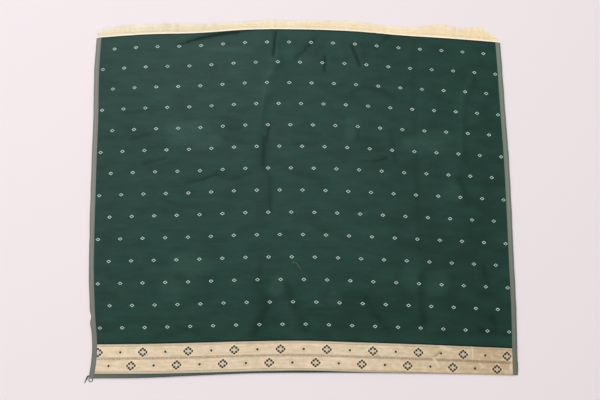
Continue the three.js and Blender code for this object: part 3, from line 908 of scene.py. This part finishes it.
def border_row(s, across, along, line, flower):
    """Flowers and dots by turns along one line: dark spots, flower centres, halos and dot rings."""
    place = (across - BUTTA_OFFSET) / FLOWER_PERIOD - flower / 4
    dx = (place - place.nearest()) * FLOWER_PERIOD
    half = place + 0.5
    ex = (half - half.nearest()) * FLOWER_PERIOD
    dy = along - line
    dark = spots(dx, dy)
    dot = (ex * ex + dy * dy).math("SQRT")
    dark = dark.most(dot.less(DOT_RADIUS, 0.9))
    core = (dx.size() / CORE_WIDE + dy.size() / CORE_TALL).less(1, 0.5)
    halo = (dx.size() / HALO_WIDE + dy.size() / HALO_TALL - 1).size().less(0.08, 0.12)
    ring = (dot - DOT_RING).size().less(1.0, 1.2)
    return dark, core, halo, ring


def zari_surface():
    s = Surface("zari_brocade", 0.38, Metallic=0.3, Specular_IOR_Level=0.4)
    across, along, _ = s.weave()
    streak = s.noise(across / 34, along / 0.9, 3)
    patch = s.noise(across / 32, along / 20, 2)
    hue = s.noise(across / 24 + 9, along / 17, 2) * 3 - 1
    painted_light = s.tint()
    gold = s.blend(patch * 1.6 - 0.3, linear(226, 212, 178), linear(243, 217, 190))
    gold = s.blend(streak * 0.45, gold, linear(204, 180, 148))
    depth = along * -1 + BORDER_DEPTH
    # Painted shade: towards the right the zari turns olive and brown, where it reflects less of the light
    # from the left.
    far = across.less(390, 440) * -0.7 + 0.7
    gold = s.blend(far, gold, s.blend(hue, linear(162, 146, 74), linear(194, 148, 118)))
    band = s.noise(across / 60, along / 5, 3)
    gold = s.blend((band - 0.5) * 1.1, gold, linear(186, 160, 120))
    gold = s.blend((band * -1 + 0.5) * 0.9, gold, linear(255, 240, 214))
    blotch = s.noise(across / 17, along / 10, 3)
    # Blotches, stronger towards the right along with the painted shade.
    uneven = far * 1.5 + 1.2
    gold = s.blend((blotch - 0.5) * uneven, gold, linear(200, 178, 134))
    gold = s.blend((blotch * -1 + 0.5) * uneven, gold, linear(252, 228, 202))
    centre = (depth - MIDDLE_LINE).size().less(3.4, 2.2)
    guards = depth.least(along).less(GUARD_DEPTH, 1.4)
    line = (depth.least(along) - EDGE_LINE).size().less(0.9, 1.2)
    beads = s.noise(across / 3.2, along / 3.2, 1) * 2 - 0.25
    # The middle line turns browner towards the right: painted shade too.
    brown = s.blend(far * 1.4, linear(172, 150, 126), linear(138, 114, 84))
    gold = s.blend(centre * beads, gold, brown)
    gold = s.blend(guards * 0.85, gold, linear(190, 184, 165))
    gold = s.blend(line * 0.7, gold, linear(158, 134, 106))
    for height, flower in ((UPPER_LINE, UPPER_FLOWER), (LOWER_LINE, LOWER_FLOWER)):
        dark, core, pale, ring = border_row(s, across, along, height, flower)
        gold = s.blend(pale * 0.35, gold, linear(244, 236, 210))
        gold = s.blend(ring * 0.4, gold, linear(196, 188, 152))
        gold = s.blend(core * 0.8, gold, linear(202, 196, 174))
        gold = s.blend(dark, gold, linear(56, 38, 18))
    # Painted highlight and painted shade, from the painted light of the creases and patches.
    gold = s.blend((painted_light - 0.5) * 1.4, gold, linear(250, 238, 212))
    s.paint(s.blend((painted_light * -1 + 0.5) * 1.2, gold, linear(120, 98, 66)))
    s.rough(streak * 0.2 + 0.32)
    s.emboss(streak, 0.12)
    return s.material


# Warp stripes of the selvedges, in millimetres in from the loom's edge
STRIPE_PITCH, DARK_STRIPE, PALE_STRIPE = 5.2, 3.6, 8


def selvedge_surface(name, tone):
    s = Surface(name, 0.7, Specular_IOR_Level=0.25)
    across, along, _ = s.weave()
    inside = across.size() * -1 + HALF_WIDTH
    mottle = s.noise(across / 2.5, along / 16, 3)
    pepper = s.noise(across / 0.7, along / 0.7, 1)
    stripe = (inside * (math.tau / STRIPE_PITCH)).sine() * 0.18 + 0.5
    colour = s.blend(mottle * 0.6 + stripe * 0.4, linear(*(v - 24 for v in tone)), linear(*tone))
    colour = s.blend(pepper * 0.4, colour, linear(70, 84, 74))
    colour = s.blend((inside - DARK_STRIPE).size().less(0.8, 1) * 0.15, colour, linear(90, 96, 88))
    colour = s.blend(inside.less(1.0, 0.8) * 0.4, colour, linear(84, 88, 78))
    colour = s.blend((inside - PALE_STRIPE).size().less(2.2, 2) * 0.16, colour, linear(172, 174, 166))
    near = along.less(260, 420)
    colour = s.blend(near * 0.42, colour, linear(84, 86, 75))
    s.paint(colour)
    s.emboss(pepper + mottle, 0.06)
    return s.material


HEM_CREASE = 1.2  # how far below the border's lower line the hem's dark crease runs


def hem_surface():
    s = Surface("hem_silk", 0.5, Specular_IOR_Level=0.25)
    across, along, _ = s.weave()
    slub = s.noise(across / 26, along / 0.9)
    colour = s.blend(across.less(-180, 420), linear(70, 68, 60), linear(80, 92, 83))
    colour = s.blend(slub * 0.4, colour, linear(48, 56, 50))
    colour = s.blend(across.less(-470, 120) * 0.8, colour, linear(104, 108, 98))
    # Painted shade in the crease just below the border.
    colour = s.blend((along + HEM_CREASE).size().less(1, 1) * 0.6, colour, linear(40, 48, 42))
    gold = s.blend(along.less(4.5, 2), linear(196, 172, 130), linear(168, 154, 126))
    colour = s.blend(along.less(0.2, 0.8), gold, colour)
    s.paint(colour)
    s.emboss(slub, 0.06)
    return s.material


STACK_SIDE = 22  # how far in from the loom's edge the hidden selvedges reach


def stack_surface():
    s = Surface("layer_edges", 0.75, Specular_IOR_Level=0.25)
    x, y, z = s.weave()
    side = (x.size() * -1 + HALF_WIDTH).less(STACK_SIDE, 3)
    mottle = s.noise(x / 4 + z * 3, y / 14, 3)
    plain = s.blend(mottle, linear(34, 56, 48), linear(48, 74, 64))
    edge = s.blend(mottle, linear(96, 102, 92), linear(136, 139, 130))
    colour = s.blend(side, plain, edge)
    # Painted shade in the joins between the layers.
    s.paint(s.blend(s.tint().math("POWER", 6), colour, linear(22, 30, 26)))
    s.emboss(mottle, 0.08)
    return s.material


def fringe_surface():
    s = Surface("warp_fringe", 0.6, Specular_IOR_Level=0.3, Sheen_Weight=0.2)
    s.paint(s.blend(s.tint(), linear(248, 229, 193), linear(255, 251, 234)))
    return s.material


def plain_thread_surface(name, colour):
    return Surface(name, 0.7, Specular_IOR_Level=0.3, Base_Color=colour).material


silk = silk_body_surface()
zari = zari_surface()
left_weave = selvedge_surface("selvedge_weave_left", (144, 147, 141))
right_weave = selvedge_surface("selvedge_weave_right", (138, 142, 134))
hem_silk = hem_surface()
edges = stack_surface()
threads = fringe_surface()

for piece, material, slot, node in (
    (body_panel, silk, "butta_silk", "body_panel"),
    (zari_border, zari, "zari_brocade", "zari_border"),
    (left_selvedge, left_weave, "selvedge_weave", "selvedge_left"),
    (right_selvedge, right_weave, "selvedge_weave", "selvedge_right"),
    (front_fold, hem_silk, "hem_silk", "front_fold"),
    (stack, edges, "layer_edges", "folded_layers"),
    (fringe_dense, threads, "warp_fringe", "fringe"),
    (fringe_stray, threads, "warp_fringe", None),
    (veil, threads, "warp_fringe", None),
    (heading, plain_thread_surface("heading_weave", linear(255, 251, 232)), "warp_fringe", None),
    (corner_loop, plain_thread_surface("loop_thread", linear(126, 134, 125)), "selvedge_weave", None),
    (corner_tail, plain_thread_surface("tail_thread", linear(50, 54, 50)), "selvedge_weave", None),
    (lint, plain_thread_surface("lint_thread", linear(128, 146, 138)), "butta_silk", None),
):
    piece.data.materials.append(material)
    if node:
        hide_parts(node)

# Floor and light, in metres
FLOOR_HALF = 6
FLOOR_COLOUR = (0.86, 0.783, 0.806, 1)
WORLD_COLOUR, WORLD_STRENGTH = (1, 0.99, 0.98, 1), 0.36
# Lamps that face the saree: name, place, size and power.
LAMPS = (
    ("window", (-2.2, 4.6, 7.4), 4.5, 370),
    ("side", (-4.2, 0.0, 5.0), 3.0, 75),
    ("overhead", (0.4, 0.6, 5.0), 3.0, 44),
)

floor_mesh = bpy.data.meshes.new("floor")
floor_corners = [(x * FLOOR_HALF, y * FLOOR_HALF, 0) for x, y in ((-1, -1), (1, -1), (1, 1), (-1, 1))]
floor_mesh.from_pydata(floor_corners, [], [(0, 1, 2, 3)])
floor = bpy.data.objects.new("floor", floor_mesh)
bpy.context.scene.collection.objects.link(floor)
floor_surface = Surface("pale_floor", 0.8, Base_Color=FLOOR_COLOUR, Specular_IOR_Level=0.1)
floor.data.materials.append(floor_surface.material)


def soft_light(name, place, size, power):
    data = bpy.data.lights.new(name, "AREA")
    data.shape = "DISK"
    data.size = size
    data.energy = power
    light = bpy.data.objects.new(name, data)
    light.location = place
    light.rotation_euler = (Vector() - Vector(place)).to_track_quat("-Z", "Y").to_euler()
    bpy.context.scene.collection.objects.link(light)


for lamp in LAMPS:
    soft_light(*lamp)
world = bpy.data.worlds.new("world")
world.use_nodes = True
world.node_tree.nodes["Background"].inputs["Color"].default_value = WORLD_COLOUR
world.node_tree.nodes["Background"].inputs["Strength"].default_value = WORLD_STRENGTH
bpy.context.scene.world = world
bpy.context.scene.view_settings.view_transform = "Standard"
